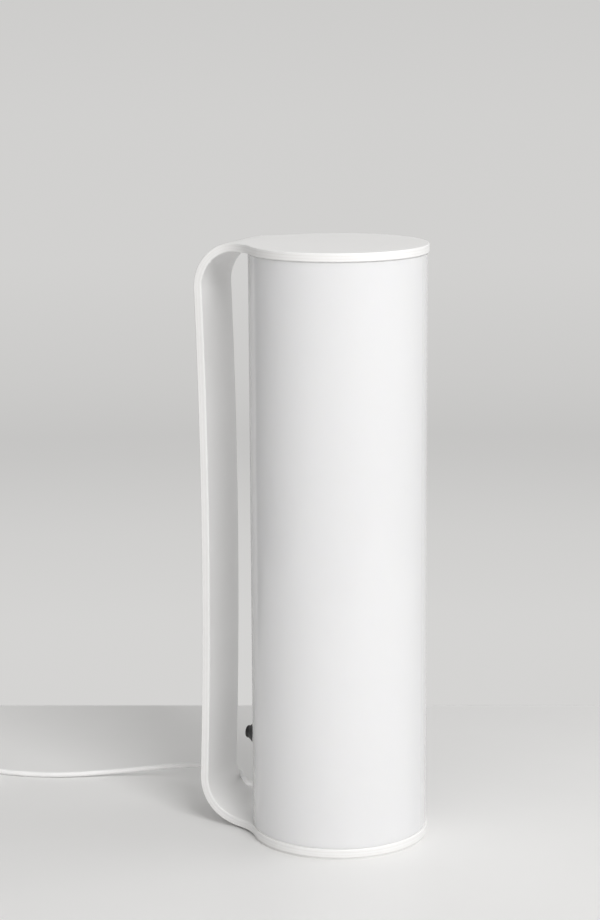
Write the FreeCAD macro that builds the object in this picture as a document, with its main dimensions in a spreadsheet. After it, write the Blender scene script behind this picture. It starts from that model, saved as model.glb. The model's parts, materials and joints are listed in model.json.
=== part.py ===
"""Table-top bright-light lamp: an opal tube standing between the two ends of one bent laminate strip."""

import FreeCAD, Part
import math
import os

import Sketcher

# Plain sizes in millimetres and degrees. The handle points along -X and the lamp rests on z = 0.
SIZES = {
    "pad_radius": 61.7,
    "pad_thickness": 1.5,
    "frame_height": 418.5,
    "disc_radius": 62.5,
    "ply_thickness": 6.0,
    "edge_round": 0.8,
    "handle_width": 49.0,
    "handle_reach": 98.0,
    "handle_bow": 3.3,
    "bend_radius": 32.0,
    "neck_radius": 40.0,
    "trim_margin": 8.0,
    "gasket_thickness": 0.5,
    "gasket_width": 2.4,
    "tube_radius": 61.5,
    "tube_wall": 3.0,
    "spigot_radius": 58.4,
    "spigot_wall": 3.0,
    "tray_floor": 3.0,
    "tray_rim": 9.0,
    "ring_bore": 44.0,
    "ring_flange": 3.0,
    "ring_depth": 10.0,
    "screw_head": 3.0,
    "screw_head_height": 1.6,
    "screw_shank": 1.5,
    "screw_drive": 1.0,
    "screw_drive_depth": 0.9,
    "screw_gap": 0.05,
    "screw_count": 3.0,
    "tray_screw_circle": 40.0,
    "tray_screw_length": 8.3,
    "column_screw_circle": 19.5,
    "column_screw_length": 12.0,
    "ring_screw_circle": 49.0,
    "ring_screw_length": 7.0,
    "column_flats": 44.0,
    "column_bore": 17.0,
    "column_length": 385.0,
    "bumper_spigot": 8.0,
    "bumper_head_radius": 20.0,
    "led_board_width": 20.0,
    "led_board_length": 300.0,
    "led_board_start": 76.0,
    "board_thickness": 1.6,
    "led_size": 3.5,
    "led_height": 1.0,
    "led_pitch": 19.5,
    "led_first": 13.5,
    "led_count": 15.0,
    "driver_height": 60.0,
    "driver_width": 32.0,
    "driver_start": 14.0,
    "standoff_height": 4.0,
    "standoff_radius": 2.2,
    "standoff_spread": 8.0,
    "standoff_inset": 6.0,
    "capacitor_y": -7.0,
    "capacitor_z": 58.0,
    "inductor_y": 6.0,
    "inductor_z": 44.0,
    "connector_z": 22.0,
    "capacitor_radius": 5.0,
    "capacitor_height": 12.0,
    "inductor_size": 12.0,
    "inductor_height": 7.0,
    "chip_size": 5.0,
    "chip_height": 1.4,
    "connector_width": 14.0,
    "connector_depth": 8.0,
    "connector_height": 10.0,
    "switch_level": 64.3,
    "switch_hole": 6.2,
    "switch_seat": 62.5,
    "saddle_radius": 9.9,
    "barrel_radius": 6.0,
    "barrel_front": 64.9,
    "button_bore_radius": 4.55,
    "button_bore_end": 52.0,
    "housing_front": 50.0,
    "housing_back": 38.0,
    "housing_radius": 8.0,
    "bezel_base_radius": 9.75,
    "bezel_front_radius": 5.3,
    "bezel_front": 68.7,
    "bezel_step": 65.0,
    "bezel_land": 63.1,
    "thread_gap": 0.05,
    "nut_flats": 16.0,
    "nut_outer": 57.7,
    "nut_inner": 55.2,
    "terminal_length": 6.0,
    "terminal_width": 2.8,
    "terminal_thickness": 0.6,
    "terminal_spread": 4.0,
    "button_radius": 4.5,
    "button_tip": 71.8,
    "button_round": 1.0,
    "button_inner": 60.5,
    "spring_wire": 0.3,
    "spring_radius": 3.0,
    "spring_pitch": 1.6,
    "gland_level": 25.0,
    "gland_hole": 4.0,
    "gland_gap": 0.05,
    "gland_tip": 66.8,
    "gland_tip_radius": 2.7,
    "gland_flange_radius": 5.6,
    "gland_flange_outer": 63.0,
    "gland_neck_radius": 3.7,
    "gland_seat": 61.6,
    "gland_inner": 53.0,
    "gland_barb_radius": 4.8,
    "gland_barb_start": 57.9,
    "cord_radius": 2.0,
    "wire_radius": 0.8,
    "coil_middle_radius": 22.0,
    "coil_band": 12.0,
    "coil_height": 16.0,
    "coil_round": 2.0,
    "coil_x": -316.0,
    "coil_y": -10.5,
    "tie_thickness": 0.8,
    "tie_width": 9.0,
    "adapter_length": 58.0,
    "adapter_width": 30.0,
    "adapter_height": 26.0,
    "adapter_round": 4.0,
    "adapter_x": -375.0,
    "adapter_y": 15.5,
    "relief_length": 20.0,
    "relief_radius": 4.0,
    "relief_tip_radius": 2.6,
    "relief_level": 13.0,
    "pin_radius": 2.0,
    "pin_length": 19.0,
    "pin_spread": 9.5,
}

# Sizes that follow from the plain ones.
DERIVED = {
    "frame_base": "pad_thickness",
    "plate_top": "pad_thickness + ply_thickness",
    "lid_underside": "pad_thickness + frame_height - ply_thickness",
    "handle_half": "handle_width / 2",
    "bend_centre": "handle_reach - bend_radius",
    "inner_bend": "bend_radius - ply_thickness",
    "bow_turn": "2 * atan(handle_bow / (frame_height / 2 - bend_radius))",
    "bow_radius": "(frame_height / 2 - bend_radius) / sin(bow_turn) - bend_radius",
    "trim_reach": "handle_reach + trim_margin",
    "trim_outer": "handle_reach + 2 * trim_margin",
    "trim_side": "disc_radius + trim_margin",
    "frame_width": "2 * trim_side",
    "tube_bore": "tube_radius - tube_wall",
    "tube_start": "plate_top + gasket_thickness",
    "tube_length": "lid_underside - plate_top - 2 * gasket_thickness",
    "gasket_outer": "tube_radius - 0.3",
    "gasket_inner": "gasket_outer - gasket_width",
    "upper_gasket_rise": "tube_length + gasket_thickness",
    "spigot_inner": "spigot_radius - spigot_wall",
    "screw_hole_head": "screw_head + screw_gap",
    "screw_hole_head_height": "screw_head_height + screw_gap",
    "screw_hole_shank": "screw_shank + screw_gap",
    "tray_hole_top": "tray_screw_length + screw_gap - ply_thickness",
    "column_hole_top": "column_screw_length + screw_gap - tray_floor",
    "ring_hole_top": "ring_screw_length + screw_gap - ring_flange",
    "ring_pilot_start": "frame_height - ply_thickness",
    "ring_pilot_end": "ring_pilot_start + ring_hole_top",
    "ring_base": "lid_underside - ring_depth",
    "ring_flange_base": "ring_depth - ring_flange",
    "ring_screw_start": "lid_underside - ring_flange",
    "column_start": "plate_top + tray_floor",
    "column_half": "column_flats / 2",
    "bumper_start": "column_start + column_length",
    "bumper_rise": "lid_underside - bumper_start",
    "bumper_spigot_radius": "column_bore - 0.1",
    "led_face": "column_half + board_thickness",
    "led_board_half": "led_board_width / 2",
    "led_half": "led_size / 2",
    "led_row_length": "led_pitch * (led_count - 1)",
    "led_board_level": "column_start + led_board_start",
    "driver_back": "column_half + standoff_height",
    "driver_face": "driver_back + board_thickness",
    "standoff_low": "driver_start + standoff_inset",
    "standoff_high": "driver_start + driver_height - standoff_inset",
    "spring_start": "button_bore_end + spring_wire",
    "spring_length": "button_inner - button_bore_end - 2 * spring_wire",
    "saddle_deep": "tube_radius - 1.5",
    "saddle_length": "switch_seat - saddle_deep",
    "thread_bore": "barrel_radius + thread_gap",
    "nut_length": "nut_outer - nut_inner",
    "switch_rise": "switch_level - tube_start",
    "gland_rise": "gland_level - tube_start",
    "gland_stem": "gland_hole - gland_gap",
    "driver_half": "driver_width / 2",
    "inductor_low": "inductor_z - inductor_size / 2",
    "inductor_high": "inductor_z + inductor_size / 2",
    "inductor_near": "inductor_y - inductor_size / 2",
    "inductor_far": "inductor_y + inductor_size / 2",
    "chip_near": "-chip_size - 2",
    "chip_far": "-2",
    "chip_low": "inductor_z - chip_size / 2 - 6",
    "chip_high": "chip_low + chip_size",
    "connector_half": "connector_width / 2",
    "connector_low": "connector_z - connector_depth / 2",
    "connector_high": "connector_z + connector_depth / 2",
    "terminal_tip": "housing_back - terminal_length",
    "terminal_half": "terminal_width / 2",
    "terminal_low": "terminal_spread - terminal_thickness / 2",
    "terminal_high": "terminal_spread + terminal_thickness / 2",
    "gland_barb_end": "gland_barb_start - 2.5",
    "coil_outer": "coil_middle_radius + coil_band / 2",
    "coil_inner": "coil_middle_radius - coil_band / 2",
    "tie_span": "coil_band + 0.6",
    "tie_rise": "coil_height + 0.4",
    "tie_near": "coil_middle_radius - tie_span / 2",
    "tie_far": "coil_middle_radius + tie_span / 2",
    "tie_outer_near": "tie_near - tie_thickness",
    "tie_outer_far": "tie_far + tie_thickness",
    "tie_outer_rise": "tie_rise + tie_thickness",
    "adapter_half": "adapter_length / 2",
    "adapter_side": "adapter_width / 2",
    "relief_start": "adapter_half - 2",
    "relief_end": "adapter_half + relief_length",
    "pin_level": "adapter_height / 2",
}

# The free lead from the strain relief's tip to the coil, as corners in millimetres.
CORD_ROUTE = [
    (-66.8, 0.0, 25.0),
    (-71.2, 0.2, 24.8),
    (-75.8, 6.6, 24.0),
    (-86.0, 22.0, 22.2),
    (-100.0, 41.0, 19.8),
    (-129.0, 53.0, 16.4),
    (-165.0, 51.5, 9.8),
    (-203.0, 43.2, 3.4),
    (-237.0, 24.0, 2.0),
    (-263.0, 15.5, 2.0),
    (-287.0, 12.3, 2.0),
    (-306.0, 14.2, 2.0),
]

# Leads inside the tube, as corners in millimetres.
SUPPLY_LEAD = [
    (-53.0, 0.0, 25.0),
    (-40.0, 0.0, 25.0),
    (-30.0, 34.0, 27.0),
    (14.0, 42.0, 24.0),
    (32.6, 34.0, 22.0),
    (32.6, 7.0, 22.0),
]
SWITCH_LEAD = [
    (-32.0, 0.0, 0.0),
    (-27.0, 0.0, 0.0),
    (-27.0, -30.0, -3.0),
    (10.0, -40.0, -9.0),
    (36.0, -30.0, -15.0),
    (36.0, -12.0, -17.0),
    (27.6, -12.0, -17.0),
]
FEED_LEAD = [
    (27.6, 4.0, 70.0),
    (33.0, 4.0, 70.0),
    (33.0, 4.0, 92.0),
    (23.6, 4.0, 92.0),
]
LINK_LEAD_REACH = 31.0
LINK_LEAD_OFFSET = 6.5
LINK_LEAD_LEVEL = 89.0

BOARD_TURNS = [0.0, 120.0, 240.0]
TIE_TURN = 250.0

doc = FreeCAD.newDocument("bright_light_lamp")
sheet = doc.addObject("Spreadsheet::Sheet", "sizes")


def fill_sheet():
    """Writes the plain sizes and the ones that follow from them, each under its own name."""
    row = 1
    for name, value in SIZES.items():
        sheet.set(f"A{row}", name)
        sheet.set(f"B{row}", str(value))
        sheet.setAlias(f"B{row}", name)
        row += 1
    for name, formula in DERIVED.items():
        sheet.set(f"A{row}", name)
        sheet.set(f"B{row}", "=" + formula)
        sheet.setAlias(f"B{row}", name)
        row += 1
    doc.recompute()


def size(name):
    """A size from the sheet. None stands for nought, and a leading minus turns the sign."""
    if name is None:
        return 0.0
    if name.startswith("-"):
        return -size(name[1:])
    found = sheet.get(name)
    return float(getattr(found, "Value", found))


def formula(name):
    """The expression that reads a size from the sheet."""
    if name.startswith("-"):
        return "-sizes." + name[1:]
    return "sizes." + name


def bind(thing, prop, name):
    """Ties one property of a document object to a size."""
    thing.setExpression(prop, formula(name))


def vector(x, y, z=0.0):
    return FreeCAD.Vector(x, y, z)


def place(thing, x=None, y=None, z=None, turn=0.0, about=(0, 0, 1)):
    """Turns an object and moves it by named sizes."""
    thing.Placement = FreeCAD.Placement(
        vector(size(x), size(y), size(z)), FreeCAD.Rotation(vector(*about), turn)
    )
    for axis, name in (("x", x), ("y", y), ("z", z)):
        if name:
            bind(thing, f".Placement.Base.{axis}", name)


def new_body(label, several=False, **where):
    body = doc.addObject("PartDesign::Body", label)
    body.Label = label
    body.AllowCompound = several
    place(body, **where)
    return body


def origin_part(body, role):
    for feature in body.Origin.OriginFeatures:
        if feature.Role == role:
            return feature
    raise ValueError(role)


def new_sketch(body, name, plane="XY_Plane", shift=None, rise=None, lift=None):
    """A sketch on one of the body's own planes, moved along its X or Y or off the plane."""
    sketch = body.newObject("Sketcher::SketchObject", f"{body.Name}_{name}")
    sketch.AttachmentSupport = [(origin_part(body, plane), "")]
    sketch.MapMode = "FlatFace"
    if shift:
        bind(sketch, ".AttachmentOffset.Base.x", shift)
    if rise:
        bind(sketch, ".AttachmentOffset.Base.y", rise)
    if lift:
        bind(sketch, ".AttachmentOffset.Base.z", lift)
    return sketch


def fix(sketch, kind, where, name):
    """Adds one driving constraint whose value is a named size, or puts a point on an axis."""
    if name is None:
        axis = -1 if kind == "DistanceY" else -2
        sketch.addConstraint(Sketcher.Constraint("PointOnObject", *where, axis))
        return
    index = sketch.addConstraint(Sketcher.Constraint(kind, *where, size(name)))
    bind(sketch, f"Constraints[{index}]", name)


def join(sketch, kind, *where):
    """Adds one constraint that has no value."""
    sketch.addConstraint(Sketcher.Constraint(kind, *where))


def draw_polygon(sketch, corners):
    """A closed outline with straight sides through corners given as pairs of named sizes."""
    points = [vector(size(x), size(y)) for x, y in corners]
    count = len(points)
    first = sketch.GeometryCount
    for i in range(count):
        sketch.addGeometry(Part.LineSegment(points[i], points[(i + 1) % count]))
    for i in range(count):
        join(sketch, "Coincident", first + i, 2, first + (i + 1) % count, 1)
    for i, (x, y) in enumerate(corners):
        fix(sketch, "DistanceX", (first + i, 1), x)
        fix(sketch, "DistanceY", (first + i, 1), y)


def draw_circle(sketch, radius, x=None, y=None):
    circle = Part.Circle(vector(size(x), size(y)), vector(0, 0, 1), size(radius))
    index = sketch.addGeometry(circle)
    fix(sketch, "Radius", (index,), radius)
    fix(sketch, "DistanceX", (index, 3), x)
    fix(sketch, "DistanceY", (index, 3), y)


def draw_hexagon(sketch, flats):
    """A regular hexagon round the sketch's origin with two flats square to its X axis."""
    reach = size(flats) / math.sqrt(3)
    turns = [math.radians(30 + 60 * i) for i in range(6)]
    points = [vector(reach * math.cos(t), reach * math.sin(t)) for t in turns]
    for i in range(6):
        sketch.addGeometry(Part.LineSegment(points[i], points[(i + 1) % 6]))
    for i in range(6):
        join(sketch, "Coincident", i, 2, (i + 1) % 6, 1)
    guide = sketch.addGeometry(Part.Circle(vector(0, 0), vector(0, 0, 1), reach), True)
    join(sketch, "Coincident", guide, 3, -1, 1)
    for i in range(6):
        join(sketch, "PointOnObject", i, 1, guide)
    for i in range(1, 6):
        join(sketch, "Equal", 0, i)
    join(sketch, "Vertical", 5)
    index = sketch.addConstraint(Sketcher.Constraint("Radius", guide, reach))
    sketch.setExpression(f"Constraints[{index}]", f"{formula(flats)} / sqrt(3)")


def extrude(body, sketch, length, both_ways=False, cut=False, backwards=False):
    """Pads or pockets a sketch by a named length, or pockets right through if it has none."""
    kind = "PartDesign::Pocket" if cut else "PartDesign::Pad"
    feature = body.newObject(kind, f"{sketch.Name}_{'pocket' if cut else 'pad'}")
    feature.Profile = sketch
    feature.SideType = "Symmetric" if both_ways else "One side"
    feature.Reversed = backwards
    if length:
        bind(feature, "Length", length)
    else:
        feature.Type = "ThroughAll"
    return feature


def turn_profile(body, name, corners, about="V_Axis", shift=None, rise=None, cut=False):
    """Revolves a straight-sided profile in the XZ plane about one of its sketch's own axes."""
    sketch = new_sketch(body, name, "XZ_Plane", shift=shift, rise=rise)
    draw_polygon(sketch, corners)
    kind = "PartDesign::Groove" if cut else "PartDesign::Revolution"
    feature = body.newObject(kind, f"{sketch.Name}_turn")
    feature.Profile = sketch
    feature.ReferenceAxis = (sketch, [about])
    feature.Angle = 360
    return feature


def spread_round(body, feature, count="screw_count"):
    """Repeats a feature evenly round the body's Z axis."""
    pattern = body.newObject("PartDesign::PolarPattern", f"{feature.Name}_ring")
    pattern.Originals = [feature]
    pattern.Axis = (origin_part(body, "Z_Axis"), [""])
    pattern.Angle = 360
    bind(pattern, "Occurrences", count)
    body.Tip = pattern
    return pattern


def round_edges(body, feature, edges, radius):
    fillet = body.newObject("PartDesign::Fillet", f"{body.Name}_rounds")
    fillet.Base = (feature, edges)
    bind(fillet, "Radius", radius)
    body.Tip = fillet
    return fillet


def sharp_edges(shape):
    """The names of the edges at which two faces meet at a corner."""
    names = []
    for i, edge in enumerate(shape.Edges, start=1):
        middle = edge.valueAt((edge.FirstParameter + edge.LastParameter) / 2)
        faces = shape.ancestorsOfType(edge, Part.Face)
        if len(faces) != 2:
            continue
        normals = [face.normalAt(*face.Surface.parameter(middle)) for face in faces]
        if normals[0].getAngle(normals[1]) > math.radians(30):
            names.append(f"Edge{i}")
    return names


def rounded_path(corners):
    """A wire of straight runs through corners, joined by tangent arcs, and its tightest radius."""
    points = [vector(*c) for c in corners]
    pieces = []
    tightest = math.inf
    start = points[0]
    for before, corner, after in zip(points, points[1:], points[2:]):
        back, ahead = before - corner, after - corner
        half_turn = (math.pi - back.getAngle(ahead)) / 2
        step = 0.45 * min(back.Length, ahead.Length)
        tightest = min(tightest, step / math.tan(half_turn))
        back.normalize()
        ahead.normalize()
        enter, leave = corner + back * step, corner + ahead * step
        radius = step / math.tan(half_turn)
        inward = back + ahead
        inward.normalize()
        middle = corner + inward * (radius / math.cos(half_turn) - radius)
        pieces.append(Part.LineSegment(start, enter).toShape())
        pieces.append(Part.Arc(enter, middle, leave).toShape())
        start = leave
    pieces.append(Part.LineSegment(start, points[-1]).toShape())
    return Part.Wire(pieces), tightest


def swept_wire(label, corners, radius):
    """A round solid along a rounded path; prints how tight its bends are."""
    path, tightest = rounded_path(corners)
    heading = vector(*corners[1]) - vector(*corners[0])
    ring = Part.Wire(Part.Circle(vector(*corners[0]), heading, radius).toShape())
    solid = path.makePipeShell([ring], True, False)
    share = solid.Volume / (path.Length * math.pi * radius**2)
    print(f"{label}: length {path.Length:.1f}, tightest bend {tightest:.1f}, fill {share:.3f}")
    return solid


def store_shape(label, shape):
    thing = doc.addObject("Part::Feature", label)
    thing.Label = label
    thing.Shape = shape
    thing.Placement = FreeCAD.Placement()
    return thing


def tangent_chain(sketch, chain):
    """Joins neighbours in a chain of (curve, end, next curve, its end) so that they flow on."""
    for here, end, following, start in chain:
        join(sketch, "Tangent", here, end, following, start)


def draw_side_profile(sketch):
    """The bent strip seen from the side: floor plate, two bends, bowed handle, lid plate."""
    height, reach = size("frame_height"), size("disc_radius")
    centre, bend = -size("bend_centre"), size("bend_radius")
    turn, bow = math.radians(size("bow_turn")), size("bow_radius")
    low, high = vector(centre, bend), vector(centre, height - bend)
    far = vector(centre - (bend + bow) * math.cos(turn), height / 2)
    for inset in (0.0, size("ply_thickness")):
        small, large = bend - inset, bow + inset
        floor_end = vector(centre, bend - small)
        lid_end = vector(centre, height - bend + small)
        up = Part.Circle(vector(0, 0), vector(0, 0, 1), 1)
        up.Center, up.Radius = low, small
        sketch.addGeometry(Part.LineSegment(vector(reach, bend - small), floor_end))
        sketch.addGeometry(Part.ArcOfCircle(up, math.pi - turn, 1.5 * math.pi))
        up.Center, up.Radius = far, large
        sketch.addGeometry(Part.ArcOfCircle(up, -turn, turn))
        up.Center, up.Radius = high, small
        sketch.addGeometry(Part.ArcOfCircle(up, 0.5 * math.pi, math.pi + turn))
        sketch.addGeometry(Part.LineSegment(lid_end, vector(reach, height - bend + small)))
    thick = size("ply_thickness")
    sketch.addGeometry(Part.LineSegment(vector(reach, 0), vector(reach, thick)))
    sketch.addGeometry(Part.LineSegment(vector(reach, height), vector(reach, height - thick)))
    for first in (0, 5):
        tangent_chain(
            sketch,
            [
                (first, 2, first + 1, 2),
                (first + 1, 1, first + 2, 1),
                (first + 2, 2, first + 3, 2),
                (first + 3, 1, first + 4, 1),
            ],
        )
        join(sketch, "Horizontal", first)
        join(sketch, "Horizontal", first + 4)
    for bent in (1, 2, 3):
        join(sketch, "Coincident", bent, 3, bent + 5, 3)
    for edge, outer, outer_end, inner, inner_end in ((10, 0, 1, 5, 1), (11, 4, 2, 9, 2)):
        join(sketch, "Coincident", edge, 1, outer, outer_end)
        join(sketch, "Coincident", edge, 2, inner, inner_end)
        join(sketch, "Vertical", edge)
    fix(sketch, "DistanceX", (0, 1), "disc_radius")
    fix(sketch, "DistanceY", (0, 1), None)
    fix(sketch, "DistanceX", (4, 2), "disc_radius")
    fix(sketch, "DistanceY", (4, 2), "frame_height")
    fix(sketch, "Radius", (1,), "bend_radius")
    fix(sketch, "DistanceX", (1, 3), "-bend_centre")
    fix(sketch, "Radius", (2,), "bow_radius")
    fix(sketch, "Radius", (3,), "bend_radius")
    fix(sketch, "DistanceX", (3, 3), "-bend_centre")
    fix(sketch, "Radius", (6,), "inner_bend")


def draw_plan_outline(sketch):
    """The strip seen from above: a disc, two hollow necks and the parallel handle."""
    disc, neck, half = size("disc_radius"), size("neck_radius"), size("handle_half")
    side = half + neck
    back = -math.sqrt((disc + neck) ** 2 - side**2)
    reach = -size("trim_reach")
    turn = math.atan2(side, back)
    rim = Part.Circle(vector(0, 0), vector(0, 0, 1), disc)
    sketch.addGeometry(Part.ArcOfCircle(rim, -turn, turn))
    rim.Center, rim.Radius = vector(back, side), neck
    sketch.addGeometry(Part.ArcOfCircle(rim, 1.5 * math.pi, math.pi + turn))
    sketch.addGeometry(Part.LineSegment(vector(back, half), vector(reach, half)))
    sketch.addGeometry(Part.LineSegment(vector(reach, half), vector(reach, -half)))
    sketch.addGeometry(Part.LineSegment(vector(reach, -half), vector(back, -half)))
    rim.Center = vector(back, -side)
    sketch.addGeometry(Part.ArcOfCircle(rim, math.pi - turn, 0.5 * math.pi))
    tangent_chain(sketch, [(0, 2, 1, 2), (1, 1, 2, 1), (4, 2, 5, 2), (5, 1, 0, 1)])
    join(sketch, "Coincident", 2, 2, 3, 1)
    join(sketch, "Coincident", 3, 2, 4, 1)
    join(sketch, "Horizontal", 2)
    join(sketch, "Vertical", 3)
    join(sketch, "Horizontal", 4)
    join(sketch, "Coincident", 0, 3, -1, 1)
    fix(sketch, "Radius", (0,), "disc_radius")
    fix(sketch, "Radius", (1,), "neck_radius")
    fix(sketch, "Radius", (5,), "neck_radius")
    fix(sketch, "DistanceX", (3, 1), "-trim_reach")
    fix(sketch, "DistanceY", (2, 2), "handle_half")
    fix(sketch, "DistanceY", (4, 1), "-handle_half")


def countersunk(length):
    """Half the outline of a countersunk screw hole that opens at its sketch's origin."""
    return [
        (None, None),
        ("screw_hole_head", None),
        ("screw_hole_shank", "screw_hole_head_height"),
        ("screw_hole_shank", length),
        (None, length),
    ]


def make_laminate_frame():
    body = new_body("laminate_frame", z="frame_base")
    side = new_sketch(body, "side", "XZ_Plane")
    draw_side_profile(side)
    extrude(body, side, "frame_width", both_ways=True)
    plan = new_sketch(body, "plan")
    draw_plan_outline(plan)
    draw_polygon(
        plan,
        [
            ("trim_side", "trim_side"),
            ("-trim_outer", "trim_side"),
            ("-trim_outer", "-trim_side"),
            ("trim_side", "-trim_side"),
        ],
    )
    trimmed = extrude(body, plan, None, cut=True, backwards=True)
    doc.recompute()
    rim = sharp_edges(trimmed.Shape)
    round_edges(body, trimmed, rim, "edge_round")
    doc.recompute()
    through = countersunk("ply_thickness")
    holes = turn_profile(body, "tray_hole", through, shift="tray_screw_circle", cut=True)
    spread_round(body, holes)
    blind = [
        (None, "ring_pilot_start"),
        ("screw_hole_shank", "ring_pilot_start"),
        ("screw_hole_shank", "ring_pilot_end"),
        (None, "ring_pilot_end"),
    ]
    pilot = turn_profile(body, "ring_pilot", blind, shift="ring_screw_circle", cut=True)
    spread_round(body, pilot)
    return body


def draw_box(sketch, left, right, low, high):
    draw_polygon(sketch, [(left, low), (right, low), (right, high), (left, high)])


def make_base_pad():
    body = new_body("base_pad")
    sketch = new_sketch(body, "disc")
    draw_circle(sketch, "pad_radius")
    extrude(body, sketch, "pad_thickness")


def make_diffuser_tube():
    body = new_body("diffuser_tube", z="tube_start")
    wall = new_sketch(body, "wall")
    draw_circle(wall, "tube_radius")
    draw_circle(wall, "tube_bore")
    extrude(body, wall, "tube_length")
    for name, radius, rise in (
        ("switch_hole", "switch_hole", "switch_rise"),
        ("gland_hole", "gland_hole", "gland_rise"),
    ):
        hole = new_sketch(body, name, "YZ_Plane")
        draw_circle(hole, radius, y=rise)
        extrude(body, hole, None, cut=True)


def make_tube_gaskets():
    body = new_body("tube_gaskets", several=True, z="plate_top")
    for name, lift in (("lower", None), ("upper", "upper_gasket_rise")):
        ring = new_sketch(body, name, lift=lift)
        draw_circle(ring, "gasket_outer")
        draw_circle(ring, "gasket_inner")
        extrude(body, ring, "gasket_thickness")


def make_base_tray():
    body = new_body("base_tray", z="plate_top")
    turn_profile(
        body,
        "section",
        [
            (None, None),
            ("spigot_radius", None),
            ("spigot_radius", "tray_rim"),
            ("spigot_inner", "tray_rim"),
            ("spigot_inner", "tray_floor"),
            (None, "tray_floor"),
        ],
    )
    pilot = [
        (None, None),
        ("screw_hole_shank", None),
        ("screw_hole_shank", "tray_hole_top"),
        (None, "tray_hole_top"),
    ]
    for name, outline, circle in (
        ("tray_pilot", pilot, "tray_screw_circle"),
        ("column_hole", countersunk("tray_floor"), "column_screw_circle"),
    ):
        spread_round(body, turn_profile(body, name, outline, shift=circle, cut=True))


def make_upper_ring():
    body = new_body("upper_ring", z="ring_base")
    turn_profile(
        body,
        "section",
        [
            ("spigot_inner", None),
            ("spigot_radius", None),
            ("spigot_radius", "ring_depth"),
            ("ring_bore", "ring_depth"),
            ("ring_bore", "ring_flange_base"),
            ("spigot_inner", "ring_flange_base"),
        ],
    )
    hole = turn_profile(
        body,
        "screw_hole",
        countersunk("ring_flange"),
        shift="ring_screw_circle",
        rise="ring_flange_base",
        cut=True,
    )
    spread_round(body, hole)


def make_screws(label, level, circle, length):
    """Three countersunk screws on a circle, with their heads flush at one level."""
    body = new_body(label, several=True, z=level)
    outline = [
        (None, "screw_drive_depth"),
        ("screw_drive", "screw_drive_depth"),
        ("screw_drive", None),
        ("screw_head", None),
        ("screw_shank", "screw_head_height"),
        ("screw_shank", length),
        (None, length),
    ]
    spread_round(body, turn_profile(body, "screw", outline, shift=circle))


def make_column():
    body = new_body("heat_sink_column", z="column_start")
    section = new_sketch(body, "section")
    draw_hexagon(section, "column_flats")
    draw_circle(section, "column_bore")
    extrude(body, section, "column_length")
    pilot = [
        (None, None),
        ("screw_hole_shank", None),
        ("screw_hole_shank", "column_hole_top"),
        (None, "column_hole_top"),
    ]
    hole = turn_profile(body, "pilot", pilot, shift="column_screw_circle", cut=True)
    spread_round(body, hole)


def make_column_bumper():
    body = new_body("column_bumper", z="bumper_start")
    turn_profile(
        body,
        "section",
        [
            (None, "-bumper_spigot"),
            ("bumper_spigot_radius", "-bumper_spigot"),
            ("bumper_spigot_radius", None),
            ("bumper_head_radius", None),
            ("bumper_head_radius", "bumper_rise"),
            (None, "bumper_rise"),
        ],
    )


def make_led_boards():
    """Three long boards on alternate flats of the column, each with its row of light sources."""
    for number, turn in enumerate(BOARD_TURNS, start=1):
        board = new_body(f"led_board_{number}", z="led_board_level", turn=turn)
        plan = new_sketch(board, "plan")
        draw_box(plan, "column_half", "led_face", "-led_board_half", "led_board_half")
        extrude(board, plan, "led_board_length")
        row = new_body(f"led_row_{number}", several=True, z="led_board_level", turn=turn)
        chip = new_sketch(row, "chip", "YZ_Plane", rise="led_first", lift="led_face")
        draw_box(chip, "-led_half", "led_half", "-led_half", "led_half")
        first = extrude(row, chip, "led_height")
        pattern = row.newObject("PartDesign::LinearPattern", f"led_row_{number}_all")
        pattern.Originals = [first]
        pattern.Direction = (origin_part(row, "Z_Axis"), [""])
        bind(pattern, "Length", "led_row_length")
        bind(pattern, "Occurrences", "led_count")
        row.Tip = pattern


def make_driver():
    board = new_body("driver_board", z="driver_start")
    plan = new_sketch(board, "plan")
    draw_box(plan, "driver_back", "driver_face", "-driver_half", "driver_half")
    extrude(board, plan, "driver_height")
    posts = new_body("driver_standoffs", several=True)
    ends = new_sketch(posts, "ends", "YZ_Plane", lift="column_half")
    for y in ("-standoff_spread", "standoff_spread"):
        for z in ("standoff_low", "standoff_high"):
            draw_circle(ends, "standoff_radius", y, z)
    extrude(posts, ends, "standoff_height")
    can = new_body("driver_capacitor")
    disc = new_sketch(can, "disc", "YZ_Plane", lift="driver_face")
    draw_circle(disc, "capacitor_radius", "capacitor_y", "capacitor_z")
    extrude(can, disc, "capacitor_height")
    choke = new_body("driver_inductor")
    block = new_sketch(choke, "block", "YZ_Plane", lift="driver_face")
    draw_box(block, "inductor_near", "inductor_far", "inductor_low", "inductor_high")
    extrude(choke, block, "inductor_height")
    chip = new_body("driver_chip")
    face = new_sketch(chip, "face", "YZ_Plane", lift="driver_face")
    draw_box(face, "chip_near", "chip_far", "chip_low", "chip_high")
    extrude(chip, face, "chip_height")
    socket = new_body("driver_connector")
    foot = new_sketch(socket, "foot", "YZ_Plane", lift="driver_face")
    draw_box(foot, "-connector_half", "connector_half", "connector_low", "connector_high")
    extrude(socket, foot, "connector_height")


def new_switch_part(label, several=False, level="switch_level"):
    """A body whose local X axis points out of the back of the tube."""
    return new_body(label, several=several, z=level, turn=180)


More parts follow.
